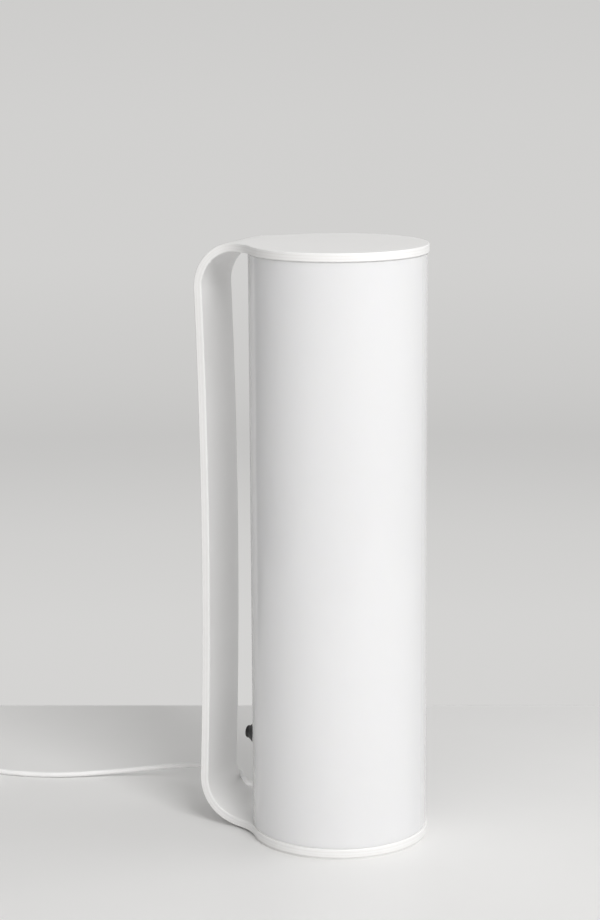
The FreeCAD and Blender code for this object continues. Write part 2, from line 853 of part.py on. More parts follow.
def make_switch():
    saddle = new_switch_part("switch_saddle")
    disc = new_sketch(saddle, "disc", "YZ_Plane", lift="saddle_deep")
    draw_circle(disc, "saddle_radius")
    draw_circle(disc, "thread_bore")
    extrude(saddle, disc, "saddle_length")
    hollow = new_sketch(saddle, "hollow")
    draw_circle(hollow, "tube_radius")
    extrude(saddle, hollow, "frame_width", both_ways=True, cut=True)

    barrel = new_switch_part("switch_body")
    turn_profile(
        barrel,
        "section",
        [
            ("housing_back", None),
            ("housing_back", "housing_radius"),
            ("housing_front", "housing_radius"),
            ("housing_front", "barrel_radius"),
            ("barrel_front", "barrel_radius"),
            ("barrel_front", "button_bore_radius"),
            ("button_bore_end", "button_bore_radius"),
            ("button_bore_end", None),
        ],
        about="H_Axis",
    )

    bezel = new_switch_part("switch_bezel")
    turn_profile(
        bezel,
        "section",
        [
            ("switch_seat", "thread_bore"),
            ("switch_seat", "bezel_base_radius"),
            ("bezel_land", "bezel_base_radius"),
            ("bezel_front", "bezel_front_radius"),
            ("bezel_front", "button_bore_radius"),
            ("bezel_step", "button_bore_radius"),
            ("bezel_step", "thread_bore"),
        ],
        about="H_Axis",
    )

    nut = new_switch_part("switch_nut")
    flats = new_sketch(nut, "flats", "YZ_Plane", lift="nut_inner")
    draw_hexagon(flats, "nut_flats")
    draw_circle(flats, "thread_bore")
    extrude(nut, flats, "nut_length")

    blades = new_switch_part("switch_terminals", several=True)
    ends = new_sketch(blades, "ends", "YZ_Plane", lift="terminal_tip")
    for low, high in (
        ("terminal_low", "terminal_high"),
        ("-terminal_high", "-terminal_low"),
    ):
        draw_box(ends, "-terminal_half", "terminal_half", low, high)
    extrude(blades, ends, "terminal_length")

    button = new_switch_part("push_button")
    stem = turn_profile(
        button,
        "section",
        [
            ("button_inner", None),
            ("button_inner", "button_radius"),
            ("button_tip", "button_radius"),
            ("button_tip", None),
        ],
        about="H_Axis",
    )
    doc.recompute()
    tip = [
        f"Edge{i}"
        for i, edge in enumerate(stem.Shape.Edges, start=1)
        if len(edge.Vertexes) == 1 and abs(edge.CenterOfMass.x - size("button_tip")) < 0.01
    ]
    round_edges(button, stem, tip, "button_round")

    spring = new_body(
        "switch_spring", x="-spring_start", z="switch_level", turn=-90, about=(0, 1, 0)
    )
    wire = new_sketch(spring, "wire", "XZ_Plane")
    draw_circle(wire, "spring_wire", x="spring_radius")
    coil = spring.newObject("PartDesign::AdditiveHelix", "spring_coil")
    coil.Profile = wire
    coil.ReferenceAxis = (wire, ["V_Axis"])
    coil.Mode = "pitch-height-angle"
    bind(coil, "Pitch", "spring_pitch")
    bind(coil, "Height", "spring_length")


def make_cord_gland():
    body = new_switch_part("cord_strain_relief", level="gland_level")
    turn_profile(
        body,
        "section",
        [
            ("gland_inner", None),
            ("gland_inner", "gland_neck_radius"),
            ("gland_barb_end", "gland_neck_radius"),
            ("gland_barb_start", "gland_barb_radius"),
            ("gland_barb_start", "gland_stem"),
            ("gland_seat", "gland_stem"),
            ("gland_seat", "gland_flange_radius"),
            ("gland_flange_outer", "gland_flange_radius"),
            ("gland_flange_outer", "gland_neck_radius"),
            ("gland_tip", "gland_tip_radius"),
            ("gland_tip", None),
        ],
        about="H_Axis",
    )


def make_leads():
    radius = size("wire_radius")
    store_shape("supply_lead", swept_wire("supply_lead", SUPPLY_LEAD, 2 * radius))
    level, spread = size("switch_level"), size("terminal_spread")
    pair = []
    for side in (-1, 1):
        route = [(x, y, z + level + side * spread) for x, y, z in SWITCH_LEAD]
        pair.append(swept_wire("switch_leads", route, radius))
    store_shape("switch_leads", Part.Compound(pair))
    feeds = [swept_wire("led_leads", FEED_LEAD, radius)]
    for turn, following in zip(BOARD_TURNS, BOARD_TURNS[1:]):
        feeds.append(swept_wire("led_leads", link_route(turn, following), radius))
    store_shape("led_leads", Part.Compound(feeds))


def link_route(turn, following):
    """The corners of a lead from the face of one light board to the next one round."""
    face, out, aside = size("led_face"), LINK_LEAD_REACH, LINK_LEAD_OFFSET
    corners = []
    for angle, radius, side in (
        (turn, face, aside),
        (turn, out, aside),
        ((turn + following) / 2, out, 0.0),
        (following, out, -aside),
        (following, face, -aside),
    ):
        a = math.radians(angle)
        x = radius * math.cos(a) - side * math.sin(a)
        y = radius * math.sin(a) + side * math.cos(a)
        corners.append((x, y, LINK_LEAD_LEVEL))
    return corners


def make_cord():
    store_shape("supply_cord", swept_wire("supply_cord", CORD_ROUTE, size("cord_radius")))

    coil = new_body("cord_coil", x="coil_x", y="coil_y")
    ring = turn_profile(
        coil,
        "section",
        [
            ("coil_inner", None),
            ("coil_outer", None),
            ("coil_outer", "coil_height"),
            ("coil_inner", "coil_height"),
        ],
    )
    doc.recompute()
    round_edges(coil, ring, sharp_edges(ring.Shape), "coil_round")

    tie = new_body("coil_tie", x="coil_x", y="coil_y", turn=TIE_TURN)
    loop = new_sketch(tie, "loop", "XZ_Plane")
    draw_box(loop, "tie_outer_near", "tie_outer_far", None, "tie_outer_rise")
    draw_box(loop, "tie_near", "tie_far", "tie_thickness", "tie_rise")
    extrude(tie, loop, "tie_width", both_ways=True)


def make_adapter():
    body = new_body("power_adapter", x="adapter_x", y="adapter_y")
    foot = new_sketch(body, "foot")
    draw_box(foot, "-adapter_half", "adapter_half", "-adapter_side", "adapter_side")
    box = extrude(body, foot, "adapter_height")
    doc.recompute()
    round_edges(body, box, sharp_edges(box.Shape), "adapter_round")
    turn_profile(
        body,
        "relief",
        [
            ("relief_start", None),
            ("relief_start", "relief_radius"),
            ("adapter_half", "relief_radius"),
            ("relief_end", "relief_tip_radius"),
            ("relief_end", None),
        ],
        about="H_Axis",
        rise="relief_level",
    )
    pins = new_body("adapter_pins", several=True, x="adapter_x", y="adapter_y", turn=180)
    ends = new_sketch(pins, "ends", "YZ_Plane", lift="adapter_half")
    for y in ("-pin_spread", "pin_spread"):
        draw_circle(ends, "pin_radius", y, "pin_level")
    extrude(pins, ends, "pin_length")


def write_parts():
    """Checks every object, then writes each sub-part as one STEP file."""
    doc.recompute()
    for thing in doc.Objects:
        if "Invalid" in thing.State or "Error" in thing.State:
            raise RuntimeError(f"{thing.Label}: {thing.State}")
    os.makedirs("parts", exist_ok=True)
    for thing in doc.Objects:
        if thing.TypeId == "PartDesign::Body" or thing.TypeId == "Part::Feature":
            if thing.Shape.isNull() or not thing.Shape.isValid():
                raise RuntimeError(f"{thing.Label} has no valid shape")
            thing.Shape.exportStep(f"parts/{thing.Label}.step")
            solids, volume = len(thing.Shape.Solids), thing.Shape.Volume
            print(f"{thing.Label}: {solids} solids, {volume:.0f} cubic mm")


fill_sheet()
make_base_pad()
make_laminate_frame()
make_diffuser_tube()
make_tube_gaskets()
make_base_tray()
make_screws("tray_screws", "frame_base", "tray_screw_circle", "tray_screw_length")
make_screws("column_screws", "plate_top", "column_screw_circle", "column_screw_length")
make_upper_ring()
make_screws("ring_screws", "ring_screw_start", "ring_screw_circle", "ring_screw_length")
make_column()
make_column_bumper()
make_led_boards()
make_driver()
make_switch()
make_cord_gland()
make_leads()
make_cord()
make_adapter()
write_parts()
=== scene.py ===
"""Looks of the table-top bright-light lamp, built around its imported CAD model. Lengths are in metres."""

import json
import math

import bmesh
import bpy
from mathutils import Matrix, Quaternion, Vector


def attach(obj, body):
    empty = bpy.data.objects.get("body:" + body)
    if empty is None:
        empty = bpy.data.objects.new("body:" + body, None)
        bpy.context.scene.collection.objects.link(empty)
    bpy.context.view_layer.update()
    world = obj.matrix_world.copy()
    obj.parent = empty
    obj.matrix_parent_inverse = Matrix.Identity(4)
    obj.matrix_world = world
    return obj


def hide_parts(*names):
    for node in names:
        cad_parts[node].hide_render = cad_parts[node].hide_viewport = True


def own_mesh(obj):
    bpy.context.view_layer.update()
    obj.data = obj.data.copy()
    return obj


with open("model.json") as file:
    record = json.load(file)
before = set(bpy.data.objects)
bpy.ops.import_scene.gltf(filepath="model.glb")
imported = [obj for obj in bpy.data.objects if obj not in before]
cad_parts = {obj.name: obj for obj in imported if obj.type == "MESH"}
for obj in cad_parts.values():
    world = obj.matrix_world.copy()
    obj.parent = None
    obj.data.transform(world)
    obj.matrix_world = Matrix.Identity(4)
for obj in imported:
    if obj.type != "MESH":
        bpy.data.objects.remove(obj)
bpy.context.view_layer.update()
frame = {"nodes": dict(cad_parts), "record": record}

# The frame strip, whose plies show on its edges.
FRAME_BASE = 0.0015
FRAME_HEIGHT = 0.4185
STRIP = 0.006
PLY_COUNT = 3
BEND_RADIUS = 0.032
BEND_CENTRE = -0.066
HANDLE_BOW = 0.0033

# The lead: where it leaves, the corners it is laid along, and how it is wound.
CORD_RADIUS = 0.002
CORD_EXIT = (-0.0668, 0.0, 0.025)
CORD_ROUTE = [
    CORD_EXIT,
    (-0.0712, 0.0002, 0.0248),
    (-0.0758, 0.0066, 0.024),
    (-0.086, 0.022, 0.0222),
    (-0.1, 0.041, 0.0198),
    (-0.129, 0.053, 0.0164),
    (-0.165, 0.0515, 0.0098),
    (-0.203, 0.0432, 0.0034),
    (-0.237, 0.024, 0.002),
    (-0.263, 0.0155, 0.002),
    (-0.287, 0.0123, 0.002),
    (-0.306, 0.0142, 0.002),
]
COIL_CENTRE = (-0.316, -0.0105)
COIL_START_RADIUS = 0.026
COIL_TURNS = 11
COIL_STEPS = 24
MOVE_SPAN = 60.0
# Where the winding crosses to the next strand: degrees since its start, strands outwards, strands up.
COIL_MOVES = [
    (360, -1, 0),
    (720, -1, 0),
    (1020, 0, 1),
    (1320, 1, 0),
    (1680, 1, 0),
    (1980, 0, 1),
    (2280, -1, 0),
    (2640, -1, 0),
    (2940, 0, 1),
    (3240, 1, 0),
    (3960, 1, 0),
]
CORD_END = [(-0.3195, 0.0155, 0.0139), (-0.323, 0.0155, 0.0132), (-0.326, 0.0155, 0.013)]

# The tie: where it sits on the coil, the strap's size, and the rectangle it runs round.
TIE_TURN = 250.0
TIE_WIDTH = 0.009
TIE_THICKNESS = 0.0008
TIE_NEAR, TIE_FAR = 0.0153, 0.0287
TIE_LOW, TIE_HIGH = 0.0004, 0.0168
TIE_ROUND, TIE_STEPS = 0.003, 6
# How many places of that line the free end lies over.
TIE_LAP = 18
# How far the strands rise over the tie, and within how many degrees of it.
TIE_LIFT, TIE_REACH = 0.0009, 28.0

# The adapter's shell: middle, half its length and width, height, and its rounded edges.
ADAPTER_CENTRE = (-0.375, 0.0155)
ADAPTER_HALF = (0.029, 0.015)
ADAPTER_HEIGHT = 0.026
ADAPTER_ROUND = 0.004
ADAPTER_CORNER = 0.0055
# The seam's groove: heights from the middle and how deep it is cut.
ADAPTER_SEAM = [(-0.0004, 0.0), (-0.0002, 0.00035), (0.0002, 0.00035), (0.0004, 0.0)]
# Its sunk top panel, the grips on its sides, and the relief that the lead goes into.
PANEL_INSET, PANEL_DEPTH = 0.0062, 0.0004
GRIP_COUNT, GRIP_START, GRIP_STEP = 7, -0.019, 0.0022
GRIP_RADIUS = 0.0006
GRIP_SPAN = (0.0068, 0.0192)
RELIEF_LEVEL = 0.013
RELIEF_END = -0.326
RELIEF_SUNK = 0.0015
RELIEF_RADII = (0.004, 0.0026)
RELIEF_RIBS = 6

# The lead's grommet in the tube: places along X and the radius there, then its ribbed taper.
GROMMET = [
    (-0.0530, 0.0034),
    (-0.0532, 0.0037),
    (-0.0554, 0.0037),
    (-0.0579, 0.0048),
    (-0.0579, 0.00395),
    (-0.0616, 0.00395),
    (-0.0616, 0.0056),
    (-0.0627, 0.0056),
    (-0.0630, 0.0052),
    (-0.0630, 0.0038),
    (-0.0634, 0.0036),
]
TAPER_START = -0.0630
TAPER_RADII = (0.0037, 0.0027)
TAPER_RIBS = 3

# Sides of a round sleeve, and a rib of a relief: how far along it, and how deep the sleeve is cut.
ROUND_STEPS = 48
RIB_SHAPE = ((0.0, 0.0), (0.08, 0.22), (0.42, 0.22), (0.5, 0.0))
RIBS_START, RIBS_SPAN = 0.22, 0.66

# The button's return spring, wound about the switch's axis: its height, back and front ends, coil radius,
# wire and turns.
SWITCH_LEVEL = 0.0643
SPRING_BACK, SPRING_FRONT = -0.0523, -0.0601
SPRING_RADIUS, SPRING_WIRE, SPRING_TURNS = 0.003, 0.0003, 5
SPRING_STEPS, SPRING_SIDES = 24, 10

# The camera fitted to the photograph, with its angles in radians.
CAMERA_PLACE = (0.65117, -1.54189, 0.60713)
CAMERA_YAW, CAMERA_PITCH, CAMERA_ROLL = 0.4155, 0.1992, -0.0061
CAMERA_LENS, CAMERA_SENSOR = 96.42, 36.0

# The table top: how far it is turned, in degrees, and where its edges run.
TABLE_TURN = 22.62
TABLE_BACK, TABLE_FRONT, TABLE_SIDE, TABLE_DEPTH = 0.3004, 0.75, 0.85, 0.03
TABLE_EDGE = 0.0012

LAMP_MIDDLE = (0.0, 0.0, 0.2)

# Light: azimuth, elevation and distance from the lamp, width and height, power, colour, seen in gloss.
LIGHTS = {
    "window_light": ((-42.0, 44.0, 2.6), (1.1, 1.1), 34.0, (1.0, 0.995, 0.995), True),
    "side_light": ((20.0, 25.0, 2.4), (1.4, 1.4), 9.0, (0.98, 0.99, 1.0), True),
    "front_fill": ((-95.0, 14.0, 2.6), (2.2, 2.2), 11.5, (1.0, 0.99, 0.98), False),
}

# The side of the room that is in shade, and how much darker it is.
SHADE_WAY = (-0.92, -0.195, 0.342)
SHADE_START = 0.3
SHADE_DEPTH = 0.85

# The backdrop's slight warmth, then heights on it, as the sine of the angle above the horizon, and
# the grey there.
BACKDROP_TINT = (1.0, 0.992, 0.978)
BACKDROP = [
    (-1.00, 0.62),
    (-0.33, 0.66),
    (-0.26, 0.665),
    (-0.225, 0.63),
    (-0.19, 0.56),
    (-0.165, 0.60),
    (-0.12, 0.645),
    (-0.06, 0.64),
    (0.00, 0.61),
    (0.35, 0.60),
    (1.00, 0.55),
]

# Extra sockets of moulded finishes, and the ways that scratches run on metal.
PLAIN = {}
MOULDED = {"Specular_IOR_Level": 0.55}
SHELL = {"Specular_IOR_Level": 0.45}
ALONG_X = (0.05, 1.0, 1.0)
ALONG_Z = (1.0, 1.0, 0.05)


def add_node(tree, kind, inputs=(), out=0, **settings):
    """Adds one shader node, with numbers or sockets as its inputs, and gives one of its outputs."""
    made = tree.nodes.new("ShaderNode" + kind)
    for setting, value in settings.items():
        setattr(made, setting, value)
    for socket, value in dict(inputs).items():
        if isinstance(value, bpy.types.NodeSocket):
            tree.links.new(value, made.inputs[socket])
        else:
            made.inputs[socket].default_value = value
    return made.outputs[out]


class Graph:
    """A material's nodes: each call adds one node, and numbers or sockets go in by socket name or place."""

    def __init__(self, name, **fixed):
        self.material = bpy.data.materials.new(name)
        self.material.use_nodes = True
        self.tree = self.material.node_tree
        self.shader = self.tree.nodes["Principled BSDF"]
        for socket, value in fixed.items():
            self.shader.inputs[socket.replace("_", " ")].default_value = value

    def node(self, kind, inputs=(), out=0, **settings):
        return add_node(self.tree, kind, inputs, out, **settings)

    def place(self, stretch=(1.0, 1.0, 1.0)):
        """The point on the piece, stretched per axis."""
        point = self.node("TexCoord", out="Object")
        return self.node("VectorMath", {0: point, 1: stretch}, operation="MULTIPLY")

    def math(self, operation, first, second=0.0, third=0.0):
        return self.node("Math", {0: first, 1: second, 2: third}, operation=operation)

    def noise(self, scale, detail=3.0, stretch=(1.0, 1.0, 1.0), rough=0.5):
        inputs = {"Vector": self.place(stretch), "Scale": scale, "Detail": detail, "Roughness": rough}
        return self.node("TexNoise", inputs)

    def spread(self, value, low, high, start=0.3, end=0.7):
        """The value between start and end, carried over to low and high."""
        inputs = {"Value": value, "From Min": start, "From Max": end, "To Min": low, "To Max": high}
        return self.node("MapRange", inputs)

    def tint(self, factor, first, second):
        inputs = {"Factor": factor, 6: (*first, 1.0), 7: (*second, 1.0)}
        return self.node("Mix", inputs, out=2, data_type="RGBA")

    def shade(self, colour, factor, second):
        """A colour that passes into a second one."""
        inputs = {"Factor": factor, 6: colour, 7: (*second, 1.0)}
        return self.node("Mix", inputs, out=2, data_type="RGBA")

    def relief(self, height, strength, distance, under=None):
        inputs = {"Height": height, "Strength": strength, "Distance": distance}
        if under is not None:
            inputs["Normal"] = under
        return self.node("Bump", inputs)

    def finish(self, colour=None, roughness=None, normal=None):
        for socket, value in (("Base Color", colour), ("Roughness", roughness), ("Normal", normal)):
            if value is not None:
                self.tree.links.new(value, self.shader.inputs[socket])
        return self.material


def grained(name, first, second, rough, grain, depth, stretch=(1.0, 1.0, 1.0), patch=60.0, **fixed):
    """A moulded, rubber or metal finish: patchy colour, uneven gloss and a fine grain."""
    graph = Graph(name, **fixed)
    colour = graph.tint(graph.spread(graph.noise(patch, 4.0), 0.0, 1.0), first, second)
    fine = graph.noise(grain, 4.0, stretch)
    patches = graph.spread(graph.noise(patch * 2), 0.0, 0.04)
    uneven = graph.math("ADD", graph.spread(fine, rough[0], rough[1]), patches)
    return graph.finish(colour, uneven, graph.relief(fine, 0.5, depth))


def ply_depth(graph):
    """How deep a point lies in the frame's strip, counted in plies from its outer face."""
    point = graph.node("TexCoord", out="Object")
    across, up = (graph.node("SeparateXYZ", {0: point}, out=axis) for axis in ("X", "Z"))
    middle = FRAME_BASE + FRAME_HEIGHT / 2
    straight = FRAME_HEIGHT / 2 - BEND_RADIUS
    rise = graph.math("SUBTRACT", up, middle)
    share = graph.math("DIVIDE", rise, straight)
    bow = graph.math("MULTIPLY_ADD", graph.math("MULTIPLY", share, share), -HANDLE_BOW, HANDLE_BOW)
    bow = graph.math("MAXIMUM", bow, 0.0)
    out = graph.math("SUBTRACT", BEND_CENTRE, graph.math("SUBTRACT", across, bow))
    out = graph.math("MAXIMUM", out, 0.0)
    over = graph.math("SUBTRACT", graph.math("ABSOLUTE", rise), straight)
    over = graph.math("MAXIMUM", over, 0.0)
    squares = graph.math("ADD", graph.math("MULTIPLY", out, out), graph.math("MULTIPLY", over, over))
    reach = graph.math("SQRT", squares)
    return graph.math("MULTIPLY", graph.math("SUBTRACT", BEND_RADIUS, reach), PLY_COUNT / STRIP)


def ply_lines(graph):
    """Where a glue line shows: thin bands between plies, worn unevenly, and none at the faces."""
    ply = ply_depth(graph)
    from_middle = graph.math("ABSOLUTE", graph.math("SUBTRACT", ply, PLY_COUNT / 2))
    inside = graph.math("LESS_THAN", from_middle, PLY_COUNT / 2 - 0.3)
    beside = graph.math("ABSOLUTE", graph.math("SUBTRACT", graph.math("FRACT", ply), 0.5))
    line = graph.math("MULTIPLY", graph.spread(beside, 0.0, 1.0, 0.36, 0.5), inside)
    grain = graph.noise(1400.0, 3.0, (1.0, 1.0, 0.15))
    return graph.math("MULTIPLY", line, graph.spread(grain, 0.35, 1.0))


def laminate():
    """White satin lacquer over bent plies, whose glue lines show faintly on the edges."""
    graph = Graph("laminate_lacquer", Specular_IOR_Level=0.45, Coat_Weight=0.12, Coat_Roughness=0.22)
    line = ply_lines(graph)
    cloud = graph.spread(graph.noise(14.0, 4.0), 0.0, 1.0)
    colour = graph.tint(cloud, (0.865, 0.862, 0.855), (0.89, 0.887, 0.882))
    colour = graph.shade(colour, graph.math("MULTIPLY", line, 0.3), (0.58, 0.55, 0.50))
    peel = graph.noise(520.0, 2.0)
    gloss = graph.spread(graph.noise(220.0, 3.0), 0.30, 0.38)
    skin = graph.relief(peel, 0.12, 0.0002)
    return graph.finish(colour, gloss, graph.relief(line, 0.35, -0.0002, skin))


def opal():
    """Glossy milk-white acrylic with faint clouds and long drawn waves from its extrusion."""
    graph = Graph(
        "opal_tube",
        Subsurface_Weight=0.25,
        Subsurface_Radius=(0.004, 0.004, 0.0045),
        Subsurface_Scale=1.0,
        Specular_IOR_Level=0.5,
        IOR=1.49,
        Coat_Weight=0.6,
        Coat_Roughness=0.03,
    )
    cloud = graph.spread(graph.noise(9.0, 3.0, (1.0, 1.0, 0.35)), 0.0, 1.0)
    colour = graph.tint(cloud, (0.785, 0.787, 0.798), (0.805, 0.806, 0.816))
    gloss = graph.spread(graph.noise(160.0, 4.0, (1.0, 1.0, 0.4)), 0.075, 0.12)
    waves = graph.noise(38.0, 1.0, (1.0, 1.0, 0.05))
    dust = graph.noise(1500.0, 1.0)
    drawn = graph.relief(waves, 0.22, 0.0003)
    return graph.finish(colour, gloss, graph.relief(dust, 0.025, 0.0001, drawn))


def cord_jacket():
    """White cable sheath, slightly uneven and scuffed."""
    graph = Graph("cord_jacket", Specular_IOR_Level=0.4, Sheen_Weight=0.05)
    cloud = graph.spread(graph.noise(70.0, 4.0), 0.0, 1.0)
    colour = graph.tint(cloud, (0.88, 0.88, 0.875), (0.92, 0.92, 0.915))
    fine = graph.noise(900.0, 3.0)
    scuffs = graph.noise(260.0, 5.0, (1.0, 1.0, 1.0), 0.7)
    normal = graph.relief(fine, 0.12, 0.0002, graph.relief(scuffs, 0.10, 0.0004))
    return graph.finish(colour, graph.spread(scuffs, 0.36, 0.5), normal)


def woven_strap():
    """Black hook-and-loop strap: rows of thread crossed by ribs."""
    graph = Graph("woven_strap", Sheen_Weight=0.5, Sheen_Roughness=0.5, Specular_IOR_Level=0.2)
    fuzz = graph.noise(2600.0, 4.0)
    waves = []
    for axis in ("X", "Y", "Z"):
        inputs = {"Vector": graph.place(), "Scale": 420.0, "Distortion": 0.6}
        waves.append(graph.node("TexWave", inputs, out=1, bands_direction=axis))
    weave = graph.math("MULTIPLY", graph.math("ADD", waves[0], waves[1]), graph.math("ADD", waves[2], 0.4))
    height = graph.math("ADD", graph.math("MULTIPLY", weave, 0.4), fuzz)
    thread = graph.spread(height, 0.0, 1.0, 0.4, 1.2)
    colour = graph.tint(thread, (0.012, 0.012, 0.013), (0.055, 0.055, 0.058))
    return graph.finish(colour, graph.spread(fuzz, 0.75, 0.95), graph.relief(height, 0.8, 0.0003))


def board(name, mask, track, **fixed):
    """A circuit board's lacquer over faint copper tracks."""
    graph = Graph(name, **fixed)
    inputs = {"Vector": graph.place(), "Scale": 320.0, "Randomness": 0.55}
    cells = graph.node("TexVoronoi", inputs, distance="CHEBYCHEV", feature="F1")
    tracks = graph.spread(cells, 0.0, 1.0, 0.28, 0.34)
    colour = graph.tint(tracks, mask, track)
    normal = graph.relief(tracks, 0.3, 0.0001)
    return graph.finish(colour, graph.spread(graph.noise(400.0), 0.28, 0.42), normal)


def light_source():
    """Yellow phosphor in a white cup, in a row along the board."""
    graph = Graph("light_source", Coat_Weight=0.4, Coat_Roughness=0.1)
    speck = graph.noise(3000.0, 3.0)
    colour = graph.tint(graph.spread(speck, 0.0, 1.0), (0.72, 0.52, 0.10), (0.84, 0.66, 0.20))
    return graph.finish(colour, graph.spread(speck, 0.3, 0.5), graph.relief(speck, 0.3, 0.0001))


def turned_metal(name, first, second, rough, along):
    """Metal with fine scratches drawn along one way."""
    return grained(name, first, second, rough, 1800.0, 0.00008, along, 90.0, Metallic=1.0)


# Slot: material name, two colours, roughness from and to, grain scale, grain depth, other sockets.
GRAINED = {
    "pad_rubber": (
        "pad_rubber_finish", (0.74, 0.735, 0.725), (0.79, 0.785, 0.775), (0.72, 0.88), 1700.0, 0.0002, PLAIN,
    ),
    "foam_gasket": (
        "foam_finish", (0.80, 0.80, 0.80), (0.86, 0.86, 0.86), (0.85, 0.95), 2600.0, 0.0004, PLAIN,
    ),
    "moulded_white": (
        "moulded_finish", (0.74, 0.74, 0.73), (0.79, 0.79, 0.78), (0.38, 0.50), 1500.0, 0.0001, PLAIN,
    ),
    "bumper_rubber": (
        "bumper_finish", (0.03, 0.03, 0.03), (0.05, 0.05, 0.05), (0.7, 0.85), 1300.0, 0.0003, PLAIN,
    ),
    "component_black": (
        "component_finish", (0.020, 0.020, 0.021), (0.035, 0.035, 0.036), (0.45, 0.6), 2200.0, 0.0001, PLAIN,
    ),
    "switch_black": (
        "switch_finish", (0.008, 0.008, 0.009), (0.014, 0.014, 0.015), (0.34, 0.48), 1900.0, 0.00012, MOULDED,
    ),
    "button_black": (
        "button_finish", (0.008, 0.008, 0.009), (0.013, 0.013, 0.014), (0.26, 0.38), 2300.0, 0.00008, MOULDED,
    ),
    "lead_red": (
        "red_lead_finish", (0.42, 0.02, 0.02), (0.52, 0.04, 0.03), (0.38, 0.5), 1400.0, 0.0002, PLAIN,
    ),
    "adapter_white": (
        "adapter_finish", (0.76, 0.76, 0.755), (0.80, 0.80, 0.795), (0.36, 0.48), 1600.0, 0.00018, SHELL,
    ),
}
# Slot: material name, two colours, roughness from and to, the way its scratches run.
METALS = {
    "screw_steel": ("screw_finish", (0.55, 0.54, 0.52), (0.66, 0.65, 0.63), (0.24, 0.38), ALONG_Z),
    "extruded_aluminium": ("extrusion_finish", (0.74, 0.75, 0.76), (0.82, 0.82, 0.83), (0.30, 0.44), ALONG_Z),
    "can_aluminium": ("can_finish", (0.70, 0.71, 0.72), (0.80, 0.80, 0.81), (0.2, 0.32), ALONG_X),
    "terminal_brass": ("brass_finish", (0.72, 0.52, 0.24), (0.80, 0.62, 0.34), (0.26, 0.4), ALONG_X),
    "spring_steel": ("spring_finish", (0.60, 0.60, 0.60), (0.72, 0.72, 0.71), (0.2, 0.34), ALONG_X),
    "pin_nickel": ("pin_finish", (0.66, 0.65, 0.62), (0.76, 0.75, 0.73), (0.14, 0.26), ALONG_X),
}


def make_finishes():
    """One finish per material slot of the record."""
    made = {
        "painted_laminate": laminate(),
        "opal_acrylic": opal(),
        "board_white": board("white_mask", (0.80, 0.80, 0.77), (0.70, 0.70, 0.66), Coat_Weight=0.3),
        "board_green": board("green_mask", (0.02, 0.16, 0.06), (0.05, 0.24, 0.09), Coat_Weight=0.5),
        "led_yellow": light_source(),
        "cord_white": cord_jacket(),
        "tie_black": woven_strap(),
    }
    for slot, (name, first, second, rough, grain, depth, sockets) in GRAINED.items():
        made[slot] = grained(name, first, second, rough, grain, depth, **sockets)
    for slot, (name, first, second, rough, along) in METALS.items():
        made[slot] = turned_metal(name, first, second, rough, along)
    return made


def slot_of(name):
    """The record's material slot of a CAD node."""
    return next(part["material_slot"] for part in frame["record"]["subparts"] if part["node"] == name)


def dress(obj, material):
    """Gives a piece one material in place of what it had."""
    obj.data.materials.clear()
    obj.data.materials.append(material)


def new_piece(name, mesh_maker, finish, body="lamp", stands_for=()):
    """A mesh piece that rides on a body, in a slot's finish, in place of CAD nodes."""
    mesh = bpy.data.meshes.new(name)
    shape = bmesh.new()
    mesh_maker(shape)
    bmesh.ops.recalc_face_normals(shape, faces=shape.faces)
    shape.to_mesh(mesh)
    shape.free()
    mesh.shade_smooth()
    mesh.set_sharp_from_angle(angle=math.radians(35))
    obj = bpy.data.objects.new(name, mesh)
    bpy.context.scene.collection.objects.link(obj)
    dress(obj, finishes[finish])
    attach(obj, body)
    if stands_for:
        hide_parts(*stands_for)
    return obj


def loft(shape, rings, closed=False):
    """Skins a list of rings of points, each with as many points as the first, and caps or closes it."""
    made = [[shape.verts.new(point) for point in ring] for ring in rings]
    count = len(made[0])
    pairs = list(zip(made, made[1:]))
    if closed:
        pairs.append((made[-1], made[0]))
    for near, far in pairs:
        for i in range(count):
            j = (i + 1) % count
            shape.faces.new((near[i], near[j], far[j], far[i]))
    if not closed:
        shape.faces.new(made[0])
        shape.faces.new(made[-1])


def round_ring(x, radius, y, z):
    """A circle of points about an axis along X."""
    steps = [2 * math.pi * i / ROUND_STEPS for i in range(ROUND_STEPS)]
    return [(x, y + radius * math.cos(a), z + radius * math.sin(a)) for a in steps]


def rounded_box_ring(z, inset, centre, half, corner, steps=8):
    """A rectangle with round corners, at one height, drawn in by inset."""
    radius = max(corner - inset, 0.0004)
    points = []
    for quarter, (sx, sy) in enumerate(((1, 1), (-1, 1), (-1, -1), (1, -1))):
        cx = centre[0] + sx * (half[0] - inset - radius)
        cy = centre[1] + sy * (half[1] - inset - radius)
        for i in range(steps + 1):
            a = math.pi / 2 * (quarter + i / steps)
            points.append((cx + radius * math.cos(a), cy + radius * math.sin(a), z))
    return points


def smooth_step(value):
    """Zero to one with soft ends."""
    value = min(max(value, 0.0), 1.0)
    return value * value * (3 - 2 * value)


